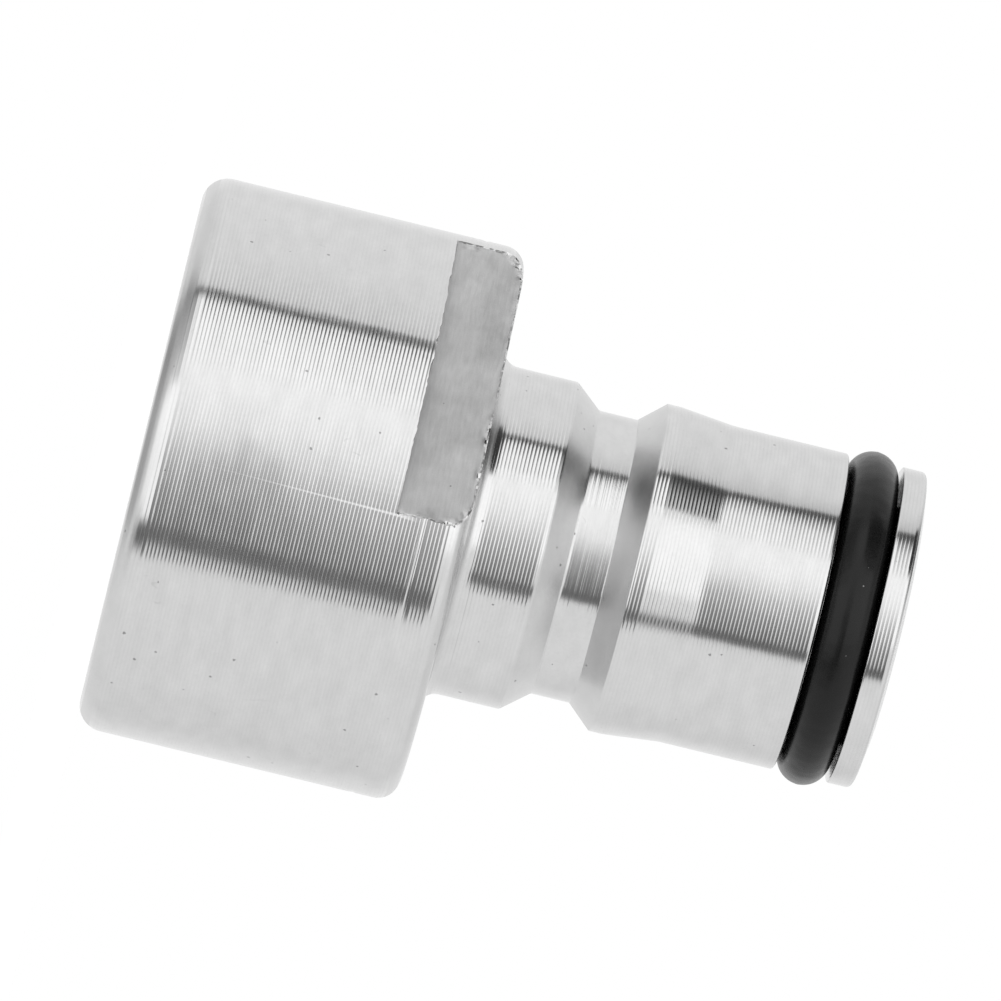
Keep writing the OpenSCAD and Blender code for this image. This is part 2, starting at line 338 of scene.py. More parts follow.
def border_distance(x, z):
    """Distance of a point of the flat from the edge where it breaks through the turned surface, in mm."""
    past_side = max(0.0, math.hypot(x, FLAT_Y) - (CAP_R - EDGE_R))
    past_top = max(0.0, z - (CAP_H - EDGE_R))
    return EDGE_R - math.hypot(past_side, past_top)


def off_plane(point):
    """How far this point of the mill's face lies off its plane, in mm."""
    wave = noise.noise(point * 1.3) + 0.5 * noise.noise(point * 4.1)
    tear = max(0.0, noise.noise(point * 0.9) + 0.25) * (noise.noise(point * 3.1) - 0.1)
    near = math.exp(-(border_distance(point.x, point.z) / BORDER_W) ** 2)
    return FACE_RAG * wave + BORDER_RAG * tear * near


print("the flat is", round(2 * math.sqrt(CAP_R ** 2 - FLAT_Y ** 2), 2), "mm wide at the wall")

# %% Mill the two flats
LEDGE_RAG = 0.14        # unevenness of the ledge's outer border, in mm
SIDE_FROM, SIDE_TO = 7.6, 9.7           # the flat's side borders run between these, in x
TOP_FROM, TOP_TO = 16, CAP_H + 0.1      # and its top border between these heights
FINE = 0.09             # distance of the slab's points there


def positions(*parts):
    """Positions along a line, from parts given as (start, end, step)."""
    places = []
    for start, end, step in parts:
        count = max(1, round((end - start) / step))
        places += [start + (end - start) * i / count for i in range(count)]
    return places + [parts[-1][1]]


def milling_slab(side):
    """A closed slab with an uneven inner face, on one side of the cap."""
    bm = bmesh.new()
    half, reach = CAP_R + 1, CAP_R + 3
    right = positions((0, SIDE_FROM, 0.23), (SIDE_FROM, SIDE_TO, FINE), (SIDE_TO, half, 1.2))
    across = [-x for x in reversed(right[1:])] + right
    heights = positions((FLAT_Z, FLAT_Z + 0.5, 0.1), (FLAT_Z + 0.5, TOP_FROM, 0.2),
                        (TOP_FROM, TOP_TO, FINE), (TOP_TO, CAP_H + 1, 0.45))
    front = [[bm.verts.new((x, side * FLAT_Y, z)) for z in heights] for x in across]
    back = [[bm.verts.new((x, side * reach, z)) for z in (heights[0], heights[-1])] for x in across]
    for i in range(len(across) - 1):
        for j in range(len(heights) - 1):
            bm.faces.new((front[i][j], front[i + 1][j], front[i + 1][j + 1], front[i][j + 1]))
        bm.faces.new((front[i][0], front[i + 1][0], back[i + 1][0], back[i][0]))
        bm.faces.new((front[i][-1], front[i + 1][-1], back[i + 1][-1], back[i][-1]))
        bm.faces.new((back[i][0], back[i + 1][0], back[i + 1][1], back[i][1]))
    for end in (0, -1):
        bm.faces.new([*front[end], back[end][1], back[end][0]])
    for row in front:
        for vertex in row:
            vertex.co.y += side * off_plane(vertex.co)
    for outer, _ in back:
        outer.co.z += LEDGE_RAG * (noise.noise(outer.co * 1.7) + noise.noise(outer.co * 5.3))
    bmesh.ops.recalc_face_normals(bm, faces=bm.faces)
    bmesh.ops.scale(bm, vec=(MM, MM, MM), verts=bm.verts)
    return add_object("slab", bm)


for side in (-1, 1):
    cut(cap, milling_slab(side))
smooth(cap)

# %% [markdown]
# ## The rubber rings
#
# The big ring seals the post in the disconnect and the small one seals the poppet. Both were
# moulded in two halves, which leaves a fine raised line round the outside. Blender's torus has no
# such line. A ring is the simplest outline there is, so the lathe makes it too, and the moulding
# line is a small bump in the circle.

# %% Spin a rubber ring
RING_POINTS = 72
FLASH_W = 0.05          # half width of the moulding line, in radians round the section


def ring_outline(centre_r, centre_z, section, flash=0.0):
    """Circle of a ring's section, with a fine moulding line on its outer side."""
    points = []
    for i in range(RING_POINTS):
        turn = 2 * math.pi * i / RING_POINTS
        away = min(turn, 2 * math.pi - turn)
        r = section / 2 + flash * math.exp(-(away / FLASH_W) ** 2)
        points.append((centre_r + r * math.cos(turn), centre_z + r * math.sin(turn)))
    return points


def rubber_ring(name, node, flash, swell=0.0):
    """A ring that fills the place of a packed ring node, made thicker by the swell in mm."""
    low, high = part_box(node)
    section = (high.z - low.z) / MM + swell
    centre_r = high.y / MM - section / 2
    centre_z = (high.z + low.z) / 2 / MM
    print(name, "section", round(section, 2), "mm, outside", round(2 * high.y / MM, 2), "mm")
    return smooth(spin(name, ring_outline(centre_r, centre_z, section, flash)), angle=WIRE_SHARP)


post_ring = rubber_ring("post_seal_ring", "post_ring", flash=0.012, swell=0.12)
valve_ring = rubber_ring("poppet_seal_ring", "poppet_seal", flash=0.008)

# %% [markdown]
# ## The poppet
#
# The poppet is the part of the valve that moves. Its pin is what a disconnect pushes, its seat
# carries the small ring, and its flange slides in the chamber. Gas has to pass the flange, so four
# round notches are cut in its edge. The lathe makes the poppet and a drill cuts the notches, as in
# the workshop. The drill's places are turned by a hair, so that no point of the drill meets a point
# of the flange, where a Boolean could leave a gap.

# %% Turn the poppet and cut its notches
PIN_R, STEM_R, SEAT_R = 1.75, 1.6, 2.3
FLANGE_R, FLANGE_T = CHAMBER_R - 0.2, 0.9
KEEPER_R, KEEPER_H, RING_ROOM = 2.9, 0.6, 1.9
SPRING_GAP = 0.03       # between the spring and the flange
NOTCH_R, NOTCH_AT, NOTCHES = 1.6, 5.4, 4
NOTCH_TURN = 0.01       # by how much of a quarter turn the notches are turned
POPPET_TURNS, DRILL_TURNS = 128, 64

low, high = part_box("poppet_pin")
pin_top, stem_low = high.z / MM, low.z / MM
flange_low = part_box("poppet_spring")[1].z / MM + SPRING_GAP
keeper_low = flange_low + FLANGE_T + RING_ROOM
poppet_outline = rounded_outline([
    (0, stem_low, 0),
    (STEM_R, stem_low, 0.6),
    (STEM_R, flange_low, 0.08),
    (FLANGE_R, flange_low, 0.1),
    (FLANGE_R, flange_low + FLANGE_T, 0.1),
    (SEAT_R, flange_low + FLANGE_T, 0.1),
    (SEAT_R, keeper_low, 0.1),
    (KEEPER_R, keeper_low, 0.12),
    (KEEPER_R, keeper_low + KEEPER_H, 0.12),
    (PIN_R, keeper_low + KEEPER_H, 0.1),
    (PIN_R, pin_top, 0.7),
    (0, pin_top, 0),
])
poppet = spin("valve_poppet", poppet_outline, turns=POPPET_TURNS)
drill_low, drill_top = flange_low - 1, flange_low + FLANGE_T + 0.5
for i in range(NOTCHES):
    angle = 2 * math.pi * (i + NOTCH_TURN) / NOTCHES
    drill = spin("drill", [(0, drill_low), (NOTCH_R, drill_low), (NOTCH_R, drill_top), (0, drill_top)],
                 turns=DRILL_TURNS)
    place = Vector((NOTCH_AT * MM * math.cos(angle), NOTCH_AT * MM * math.sin(angle), 0))
    drill.data.transform(Matrix.Translation(place))
    cut(poppet, drill)
smooth(poppet)
print("poppet from", round(stem_low, 2), "to", round(pin_top, 2), "mm")

# %% [markdown]
# ## The spring
#
# The spring is a round wire wound into a coil, with its first and last turns closed so that it
# stands square. A curve with a bevel would do, but a mesh is what can be flattened when the poppet
# moves, so a ring of points is carried along the helix.

# %% Wind the spring
WIRE_D, COIL_R, OPEN_TURNS, CLOSED_TURNS = 0.7, 3.3, 6, 1
WIRE_SIDES, COIL_STEPS = 20, 56
ALL_TURNS = OPEN_TURNS + 2 * CLOSED_TURNS

spring_low, spring_high = (corner.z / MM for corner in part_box("poppet_spring"))
coil_low, coil_high = spring_low + WIRE_D / 2, spring_high - WIRE_D / 2


def coil_height(turn):
    """Height of the wire's centre after so many turns."""
    closed_rise = CLOSED_TURNS * WIRE_D
    open_pitch = (coil_high - coil_low - 2 * closed_rise) / OPEN_TURNS
    if turn < CLOSED_TURNS:
        return coil_low + turn * WIRE_D
    if turn > ALL_TURNS - CLOSED_TURNS:
        return coil_high - (ALL_TURNS - turn) * WIRE_D
    return coil_low + closed_rise + (turn - CLOSED_TURNS) * open_pitch


def wire_ring(bm, turn):
    """A ring of points round the wire, after so many turns."""
    angle = 2 * math.pi * turn
    ring = []
    for side in range(WIRE_SIDES):
        around = 2 * math.pi * side / WIRE_SIDES
        r = COIL_R + WIRE_D / 2 * math.cos(around)
        z = coil_height(turn) + WIRE_D / 2 * math.sin(around)
        ring.append(bm.verts.new((r * MM * math.cos(angle), r * MM * math.sin(angle), z * MM)))
    return ring


def wind_spring(name):
    """A closed mesh of the coil, its wire's ends cut square."""
    bm = bmesh.new()
    rings = [wire_ring(bm, step / COIL_STEPS) for step in range(ALL_TURNS * COIL_STEPS + 1)]
    for a, b in zip(rings, rings[1:]):
        for side in range(WIRE_SIDES):
            other = (side + 1) % WIRE_SIDES
            bm.faces.new((a[side], b[side], b[other], a[other]))
    bm.faces.new(rings[0])
    bm.faces.new(rings[-1])
    bmesh.ops.recalc_face_normals(bm, faces=bm.faces)
    return smooth(add_object(name, bm), angle=WIRE_SHARP)


spring = wind_spring("valve_spring")
print("spring", round(spring_high - spring_low, 2), "mm long")

# %% [markdown]
# ## The hose barb
#
# The barb screws up into the cap and carries the spring. It started as hexagon bar, so its head is
# a hexagon whose corners were turned down. Its three barbs lean so that a hose slides on but not
# off. The turned part is one outline with its fine thread, as on the cap.

# %% Turn the barb
HEX_AF, HEX_LOW, HEX_CUT = 14.0, 9.9, 0.65
SHANK_R, SHANK_TOP, SHANK_ROWS = 6.0, 20.5, 84
SHANK_PITCH, SHANK_DEPTH = 1.0, 0.3
SHANK_THREAD = (ROOF_Z + 0.4, SHANK_TOP - 0.2)      # lower and upper end of the fine thread
BARB_R, BARB_ROOT_R, BARB_PITCH, BARBS = 4.45, 3.65, 2.2, 3
BARB_LAND, BARB_STEP_H = 0.35, 0.2
FLOW_R, POCKET_R, POCKET_LOW = 2.5, 3.9, 19.5
STEP_Z = HEX_LOW + 0.5  # where the turned part widens, hidden in the head

barb_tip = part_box("hose_barb")[0].z / MM


def barb_corners():
    """Corners of the barbs' outside, from the tip upwards."""
    corners = []
    for i in range(BARBS):
        base = barb_tip + i * BARB_PITCH
        corners += [
            (BARB_ROOT_R, base, 0.05),
            (BARB_R, base + BARB_PITCH - BARB_LAND - BARB_STEP_H, 0.06),
            (BARB_R, base + BARB_PITCH - BARB_STEP_H, 0.05),
        ]
    return corners + [(BARB_ROOT_R, barb_tip + BARBS * BARB_PITCH, 0.05)]


def cut_shank_thread(r, z, angle):
    """Pulls a point of the shank inwards where its fine thread passes."""
    if abs(r - SHANK_R) > TINY or not SHANK_THREAD[0] < z < SHANK_THREAD[1]:
        return r, z
    phase = (z / SHANK_PITCH - angle / (2 * math.pi)) % 1.0
    return r - SHANK_DEPTH * (1 - abs(2 * phase - 1)), z


shank_wall = [
    (SHANK_R, ROOF_Z + (SHANK_TOP - ROOF_Z) * row / SHANK_ROWS, 0)
    for row in range(1, SHANK_ROWS + 1)
]
barb_outline = rounded_outline(
    [(FLOW_R, barb_tip, 0.08)] + barb_corners() + [(BARB_ROOT_R, STEP_Z, 0), (SHANK_R, STEP_Z, 0)]
    + shank_wall + [(POCKET_R, SHANK_TOP, 0.08), (POCKET_R, POCKET_LOW, 0.08), (FLOW_R, POCKET_LOW, 0.08)]
)
barb = spin("hose_barb_fitting", barb_outline, reshape=cut_shank_thread)
print("barb from", round(barb_tip, 2), "to", SHANK_TOP, "mm")

# %% [markdown]
# ### The barb's head
#
# A hexagon is a spin with six steps. Its lower corners were turned down on the lathe, so what is
# left of it is its overlap with a cone. The head is then joined to the turned part.

# %% Add the hexagon
HEAD_BORE_R, CONE_BORE_R = BARB_ROOT_R - 0.4, BARB_ROOT_R - 0.6
CONE_RISE = 2.65        # height above the head's lower face at which the cone is widest


def hexagon_head():
    """The barb's hexagon, with a bore wider than the shank's core, and its lower corners turned down."""
    corner_r = HEX_AF / 2 / math.cos(math.radians(30))
    head = spin("head", [(HEAD_BORE_R, HEX_LOW), (corner_r, HEX_LOW),
                         (corner_r, ROOF_Z), (HEAD_BORE_R, ROOF_Z)], turns=6)
    cone = spin("cone", rounded_outline([
        (CONE_BORE_R, HEX_LOW - 1, 0),
        (corner_r - HEX_CUT - 1, HEX_LOW - 1, 0),
        (corner_r + 3, HEX_LOW + CONE_RISE, 0),
        (corner_r + 3, ROOF_Z + 1, 0),
        (CONE_BORE_R, ROOF_Z + 1, 0),
    ]))
    return cut(head, cone, "INTERSECT")


smooth(cut(barb, hexagon_head(), "UNION"))

# %% [markdown]
# ## The bottle seal
#
# A flat ring of silicone lies under the roof and seals on the bottle's lip. It was stamped from
# sheet, so its edges are slightly rounded where the punch dragged them. A squashed torus would be
# too round, so this ring is an outline with four corners.

# %% Stamp the seal
SEAL_HOLE_R = 8.383

low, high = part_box("bottle_seal")
seal_low, seal_high, seal_r = low.z / MM, high.z / MM, high.y / MM
bottle_seal = smooth(spin("silicone_bottle_seal", rounded_outline([
    (SEAL_HOLE_R, seal_low, 0.12),
    (seal_r, seal_low, 0.2),
    (seal_r, seal_high, 0.08),
    (SEAL_HOLE_R, seal_high, 0.08),
])))
print("seal", round(2 * seal_r, 2), "mm across,", round(seal_high - seal_low, 2), "mm thick")

# %% [markdown]
# ## Writing shader maths as sums
#
# A material is a graph of nodes, and a long graph is hard to read in code. The small class below
# wraps one socket. When two of them are added or multiplied, the class adds the Math node and
# hands back its output, so a formula in the code looks like a formula.

# %% A socket that knows arithmetic
class Wire:
    """One output socket of a finish. Sums and products of wires add Math nodes."""

    def __init__(self, finish, socket):
        self.finish, self.socket = finish, socket

    def output(self, name):
        """Another output of the same node."""
        return Wire(self.finish, self.socket.node.outputs[name])

    def math(self, operation, *values):
        """A Math node of this operation on the values, which may be wires or numbers."""
        return self.finish.node("ShaderNodeMath", {"operation": operation}, dict(enumerate(values)))

    def __add__(self, other):
        return self.math("ADD", self, other)

    __radd__ = __add__

    def __sub__(self, other):
        return self.math("SUBTRACT", self, other)

    def __rsub__(self, other):
        return self.math("SUBTRACT", other, self)

    def __mul__(self, other):
        return self.math("MULTIPLY", self, other)

    __rmul__ = __mul__

    def __truediv__(self, other):
        return self.math("DIVIDE", self, other)

    def __pow__(self, other):
        return self.math("POWER", self, other)

    def __gt__(self, other):
        return self.math("GREATER_THAN", self, other)

    def __lt__(self, other):
        return self.math("LESS_THAN", self, other)

    def __abs__(self):
        return self.math("ABSOLUTE", self)

    def at_least(self, other):
        """The larger of the two."""
        return self.math("MAXIMUM", self, other)

    def at_most(self, other):
        """The smaller of the two."""
        return self.math("MINIMUM", self, other)


print("a wire knows", ", ".join(name.strip("_") for name, value in vars(Wire).items() if callable(value)))

# %% [markdown]
# ### A finish under construction
#
# Every other node comes from one method, which takes the node's kind, its settings and the values
# or wires of its sockets. The methods after it are short names for what nearly every finish needs.

# %% A finish and its nodes
class Finish:
    """A material or world under construction. node() adds any node and returns one of its outputs."""

    def __init__(self, name, owner=None):
        self.owner = owner or bpy.data.materials.new(name)
        self.owner.use_nodes = True
        self.owner.node_tree.nodes.clear()

    def node(self, kind, settings=None, sockets=None, out=0):
        """Adds a node: its settings are set first, then its sockets get their values or links."""
        made = self.owner.node_tree.nodes.new(kind)
        for key, value in (settings or {}).items():
            if key == "stops":
                self.set_stops(made.color_ramp.elements, value)
            else:
                setattr(made, key, value)
        for key, value in (sockets or {}).items():
            if isinstance(value, Wire):
                self.owner.node_tree.links.new(value.socket, made.inputs[key])
            else:
                made.inputs[key].default_value = value
        return Wire(self, made.outputs[out]) if out is not None else None

    @staticmethod
    def set_stops(elements, stops):
        """Gives a Color Ramp its stops, as (position, grey)."""
        while len(elements) < len(stops):
            elements.new(1.0)
        for element, (position, grey) in zip(elements, stops):
            element.position = position
            element.color = (grey, grey, grey, 1)

    def place(self):
        """Position on the piece in millimetres, as a vector."""
        where = self.node("ShaderNodeTexCoord", out="Object")
        return self.node("ShaderNodeVectorMath", {"operation": "SCALE"}, {0: where, "Scale": 1 / MM})

    def axes(self, vector):
        """The x, y and z of a vector."""
        x = self.node("ShaderNodeSeparateXYZ", sockets={0: vector})
        return x, x.output("Y"), x.output("Z")

    def upward(self):
        """How far a face looks up, from -1 to 1."""
        return self.axes(self.node("ShaderNodeTexCoord", out="Normal"))[2]

    def noise(self, vector, scale, detail=2.0, stretch=None):
        """A Noise texture from 0 to 1, stretched by a vector if one is given."""
        if stretch:
            vector = self.node("ShaderNodeVectorMath", {"operation": "MULTIPLY"}, {0: vector, 1: stretch})
        return self.node("ShaderNodeTexNoise", sockets={"Vector": vector, "Scale": scale, "Detail": detail})

    def step(self, value, start, end):
        """0 before start, 1 after end, and a smooth rise between."""
        return self.node("ShaderNodeMapRange", {"interpolation_type": "SMOOTHSTEP"},
                         {"Value": value, "From Min": start, "From Max": end})

    def bump(self, height):
        """A normal that is bent by this height in millimetres."""
        return self.node("ShaderNodeBump", sockets={"Strength": 1.0, "Distance": 1.0, "Height": height * MM})

    def grey(self, value):
        """A wire of numbers as a grey colour."""
        return self.node("ShaderNodeCombineColor", sockets={0: value, 1: value, 2: value})

    def end_in(self, shader):
        """Links a shader to the output and hands back the finished material or world."""
        kind = "World" if isinstance(self.owner, bpy.types.World) else "Material"
        self.node("ShaderNodeOutput" + kind, sockets={"Surface": shader}, out=None)
        return self.owner

    def surface(self, sockets):
        """Ends the finish in a Principled BSDF with these sockets."""
        return self.end_in(self.node("ShaderNodeBsdfPrincipled", sockets=sockets))


print("a finish knows", ", ".join(name for name in vars(Finish) if not name.startswith("_")))

# %% [markdown]
# ## Turned steel
#
# A lathe tool with a round nose leaves one small hollow for each turn of the bar, 0.2 mm apart.
# Between two hollows stands a sharp crest. The height of such a surface is a row of parabolas.
# Real grooves would need millions of faces, so a bump draws them. Each hollow acts as a tiny
# concave mirror: it shows a slice of the room from bottom to top, and so every pitch carries one
# bright and one dark line.
#
# Not every surface was cut alike. The barrel above the ridge has fainter lines, the cones were cut
# with the side of the tool and are plain and duller, and the lock groove has uneven streaks.

# %% Lines of the lathe tool
FEED = 0.2              # distance between two turning lines, in mm
CREST_H = 0.0082        # height of the crests, in mm
FAINTER = 0.52          # how much lower they are above the ridge
STREAK = 2.4            # height of the lock groove's streaks, in crests
LEVEL = 0.9             # a face whose normal points up or down by more than this is level
CONE = (0.42, 0.50)     # other faces pass from wall to cone between these
INSIDE_GAP = 0.5        # reach past the thread chamber in which no lines are drawn, in mm


def scallops(distance, feed):
    """Row of parabolic hollows, from 0 in a hollow to 1 on a crest."""
    cell = distance.math("FRACT", distance / feed)
    centred = cell * 2 - 1
    return centred * centred


def tool_marks(finish, place, feed):
    """Height of the tool's marks in crests, the hollows alone, and 1 on the cones."""
    x, y, z = finish.axes(place)
    radius = (x * x + y * y) ** 0.5
    tilt = abs(finish.upward())
    level = tilt > LEVEL
    distance = z * (1 - level) + radius * level
    ring = finish.node("ShaderNodeCombineXYZ", sockets={2: distance})
    strength = 0.55 + 0.45 * finish.noise(ring, 4.0, detail=1)
    strength = strength + 0.45 * finish.noise(place, 0.35, stretch=(1, 1, 3))
    on_cone = finish.step(tilt, *CONE) * (1 - level)
    in_groove = (z > LOCK_LOW) * (z < LOCK_TOP)
    outside = 1 - (z < ROOF_Z + INSIDE_GAP) * (radius < RELIEF_R + INSIDE_GAP)
    hollows = scallops(distance, feed) * (1 - on_cone) * (1 - in_groove) * outside
    lines = hollows * strength * (1 - FAINTER * (z > RIDGE_TOP))
    streaks = finish.noise(ring, 4.5, detail=3) * in_groove * STREAK
    return lines + streaks, hollows, on_cone


print("turning lines every", FEED, "mm,", CREST_H, "mm high")

# %% [markdown]
# ### Dents, dust and scratches
#
# Steel that has been used carries small dents and a few scratches, and dust lies on everything. A
# Voronoi texture has one cell round each scattered point, so a dot in some of its cells makes
# specks of uneven size. A scratch is where a smooth noise passes one value, a long thin curve.

# %% Specks and scratches
EMPTY = 0.35            # share of the cells that have no speck
SCRATCHED = (0.69, 0.74)        # scratches show where a noise lies above these


def specks(finish, vector, size, spacing):
    """1 on sparse small dots, 0 elsewhere."""
    bent = finish.noise(vector, 6.0).output("Color")
    vector = finish.node("ShaderNodeVectorMath", {"operation": "MULTIPLY_ADD"},
                         {0: bent, 1: (0.16, 0.16, 0.16), 2: vector})
    dot = finish.node("ShaderNodeTexVoronoi",
                      sockets={"Vector": vector, "Scale": 1 / spacing, "Randomness": 1.0}, out="Distance")
    pick = finish.node("ShaderNodeSeparateColor", sockets={0: dot.output("Color")})
    girth = pick.output("Green")
    return (dot < girth * girth * (size / spacing)) * (pick > EMPTY)


def scratches(finish, vector, scale, width):
    """1 on thin long scratches, which are few."""
    path = finish.noise(vector, scale, detail=1.5, stretch=(1, 1, 0.45))
    where = finish.step(finish.noise(vector, scale * 1.3, detail=1), *SCRATCHED)
    return (1 - finish.step(abs(path - 0.5), 0.0, width)) * where


print("specks in", round(100 * (1 - EMPTY)), "% of the cells")

# %% [markdown]
# ### The steel's tone
#
# Bare steel in one grey looks like plastic. Its tone varies a little from smears and grain, dents
# are darker, and one place on the wall was gripped so often that it is faintly darker. The hollows
# of the turning lines are painted a little darker too, which is painted shade. The barb and the
# poppet are the same steel, polished until their lines are hardly felt. The plain numbers in these
# sums are weights, which were found by rendering, looking and trying again.

# %% Finish of the turned walls
HANDLED = (9.6, -11.4, 5.5)     # the place on the wall that was gripped
HANDLED_R = (1.5, 3.4)          # it fades between these distances, in mm
WAVE_H, DENT_H, SCRATCH_H = 0.010, 0.004, 0.0012


def turned_steel(name, grey=0.655, rough=0.10, crest=CREST_H, feed=FEED):
    """Bright stainless steel with the fine lines of a lathe tool."""
    finish = Finish(name)
    place = finish.place()
    marks, hollows, on_cone = tool_marks(finish, place, feed)
    wave = finish.noise(place, 0.45)
    dents = specks(finish, place, size=0.085, spacing=0.80)
    scratch = scratches(finish, place, 0.5, 0.006) * 0.5
    height = marks * crest + wave * WAVE_H - dents * DENT_H - scratch * SCRATCH_H
    away = finish.node("ShaderNodeVectorMath", {"operation": "DISTANCE"}, {0: place, 1: HANDLED}, out="Value")
    handled = 1 - finish.step(away, *HANDLED_R)
    scuff = handled * finish.step(finish.noise(place, 0.45, detail=1), 0.30, 0.75)
    smear = finish.noise(place, 0.5, detail=4, stretch=(1, 1, 2.5))
    grain = finish.noise(place, 6.0)
    # the hollows of the turning lines are painted a little darker: painted shade in the hollows
    tone = grey * (0.86 + 0.20 * smear + 0.07 * grain - 0.035 * hollows)
    tone = tone * (1 - 0.5 * dents) * (1 - 0.2 * scratch - 0.16 * scuff)
    return finish.surface({
        "Base Color": finish.grey(tone), "Metallic": 1.0,
        "Roughness": rough + 0.05 * smear + 0.13 * on_cone, "Normal": finish.bump(height)})


steel_turned = turned_steel("turned_steel")
steel_smooth = turned_steel("polished_steel", grey=0.64, rough=0.17, crest=0.0012, feed=0.09)
print("turned steel has", len(steel_turned.node_tree.nodes), "nodes")

# %% [markdown]
# ## The milled flats
#
# A mill leaves a duller face than a lathe: its teeth overlap in every direction and tear the steel
# a little. The finish is rougher, with blotches a millimetre wide and short faint scratches that
# run along the flat. Where the mesh's border is torn, a narrow strip of the finish is torn as well
# and darker, with flakes in it that are painted lighter than the steel: painted glints. The strip
# follows the border because it is worked out from the same distance as the slab's tears.

# %% Finish of the wrench flats
STRIP_W, STRIP_RAG = 0.02, 0.26     # least width of the torn strip and how much it varies, in mm
LEDGE_GAP = 0.07        # the strip starts this far below the flat's lower end
FAR = 9                 # a distance that keeps the strip off the ledge


def torn_strip(finish, place):
    """1 in torn patches along the flat's border."""
    x, y, z = finish.axes(place)
    past_side = ((x * x + y * y) ** 0.5 - (CAP_R - EDGE_R)).at_least(0.0)
    past_top = (z - (CAP_H - EDGE_R)).at_least(0.0)
    inside = EDGE_R - (past_side * past_side + past_top * past_top) ** 0.5
    on_ledge = finish.upward() > 0.5
    border = inside.at_most(z - (FLAT_Z - LEDGE_GAP) + on_ledge * FAR)
    ragged = STRIP_W + STRIP_RAG * finish.noise(place, 2.4, detail=4) ** 2.5
    patch = finish.step(finish.noise(place, 0.8, detail=1), 0.38, 0.52)
    return (1 - finish.step(border - ragged, 0.0, 0.03)) * (0.06 + 0.94 * patch)


def milled_steel(name):
    """Dull steel with soft blotches, short scratches and a torn border with painted glints in it."""
    finish = Finish(name)
    place = finish.place()
    torn = torn_strip(finish, place)
    # flakes where the torn strip is painted lighter than the steel: painted glints
    flake_glint = finish.step(finish.noise(place, 3.2, detail=3), 0.42, 0.60)
    blotch = finish.noise(place, 0.55, detail=3)
    brushed = finish.noise(place, 1.0, detail=4, stretch=(1.0, 1, 7))
    grain = finish.noise(place, 12, detail=3)
    height = blotch * 0.012 + brushed * 0.006 + grain * 0.0016 - torn * 0.012
    dust = specks(finish, place, size=0.06, spacing=0.9)
    smudge = finish.step(finish.noise(place, 0.30, detail=4), 0.52, 0.72)
    tone = (0.29 + 0.26 * blotch + 0.17 * brushed + 0.13 * grain) * (1 - 0.16 * smudge)
    # the torn strip is darker, and its flakes are painted lighter than the steel around them: painted glints
    tone = tone * (1 - torn * (0.55 - 0.95 * flake_glint)) * (1 - 0.6 * dust)
    return finish.surface({"Base Color": finish.grey(tone), "Metallic": 1.0,
                           "Roughness": 0.34 + 0.14 * grain, "Normal": finish.bump(height)})


steel_milled = milled_steel("milled_steel")
print("milled steel has", len(steel_milled.node_tree.nodes), "nodes")

# %% [markdown]
# ## Spring wire
#
# Wire is pulled through a die, which draws long fine lines along it. Round a coil these lines run
# with the turns, so the bump's noise is stretched flat in height.

# %% Finish of the spring
def drawn_wire(name):
    """Spring steel, slightly darker than the cap, with drawing lines."""
    finish = Finish(name)
    lines = finish.noise(finish.place(), 2.0, detail=3, stretch=(1, 1, 8))
    return finish.surface({"Base Color": finish.grey(0.52 + 0.12 * lines), "Metallic": 1.0,
                           "Roughness": 0.22 + 0.12 * lines, "Normal": finish.bump(lines * 0.004)})


steel_wire = drawn_wire("spring_steel")
print("spring steel has", len(steel_wire.node_tree.nodes), "nodes")

# %% [markdown]
# ## Rubber
#
# Moulded rubber is black but never plain: its skin copies the grain of the mould, and pale dust
# sticks to it. The silicone of the bottle seal is softer and nearly white, with a soft grey mottle.
# Noise gives both their skin, at a scale of a tenth of a millimetre.

# %% Finish of the rings and the seal
def moulded_rubber(name):
    """Black rubber with a fine grain and sparse dust."""
    finish = Finish(name)
    place = finish.place()
    grain = finish.noise(place, 9, detail=3)
    ripple = finish.noise(place, 0.8, detail=1)
    dust = specks(finish, place, size=0.06, spacing=0.8)
    tone = 0.002 + 0.005 * grain + 0.22 * dust
    return finish.surface({"Base Color": finish.grey(tone), "Roughness": 0.22 + 0.12 * grain,
                           "Specular IOR Level": 0.28, "Normal": finish.bump(grain * 0.0020 + ripple * 0.05)})


def pressed_silicone(name):
    """Milky silicone with a soft mottle."""
    finish = Finish(name)
    place = finish.place()
    tone = 0.80 + 0.08 * finish.noise(place, 0.35, detail=3)
    grain = finish.noise(place, 7)
    colour = finish.node("ShaderNodeCombineColor", sockets={0: tone, 1: tone, 2: tone * 0.975})
    return finish.surface({"Base Color": colour, "Roughness": 0.42 + 0.12 * grain,
                           "Normal": finish.bump(grain * 0.004)})


rubber = moulded_rubber("black_rubber")
silicone = pressed_silicone("silicone")
print("rubber has", len(rubber.node_tree.nodes), "nodes, silicone", len(silicone.node_tree.nodes))

# %% [markdown]
# ## Putting the finishes on
#
# The cap carries two finishes. A face belongs to a flat when it lies in the plane that the mill
# reached, so its place decides, and no face has to be picked by hand.

# %% Dress the pieces
NEAR_FLAT, NEAR_LEDGE = 0.05, 0.15      # how near to the flat and its ledge their faces lie, in mm
FACING = 0.8                            # and how far they look the same way


def was_milled(face):
    """True for a face of a wrench flat or of the ledge below it."""
    centre = face.center / MM
    on_flat = abs(abs(centre.y) - FLAT_Y) < NEAR_FLAT and abs(face.normal.y) > FACING
    on_ledge = abs(centre.z - FLAT_Z) < NEAR_LEDGE and face.normal.z > FACING and abs(centre.y) > FLAT_Y
    return centre.z > FLAT_Z - 0.2 and (on_flat or on_ledge)


for piece, finish in (
    (cap, steel_turned), (cap, steel_milled), (barb, steel_smooth), (poppet, steel_smooth),
    (spring, steel_wire), (post_ring, rubber), (valve_ring, rubber), (bottle_seal, silicone),
):
    piece.data.materials.append(finish)
milled = [face for face in cap.data.polygons if was_milled(face)]
for face in milled:
    face.material_index = 1
print("faces on the flats:", len(milled))
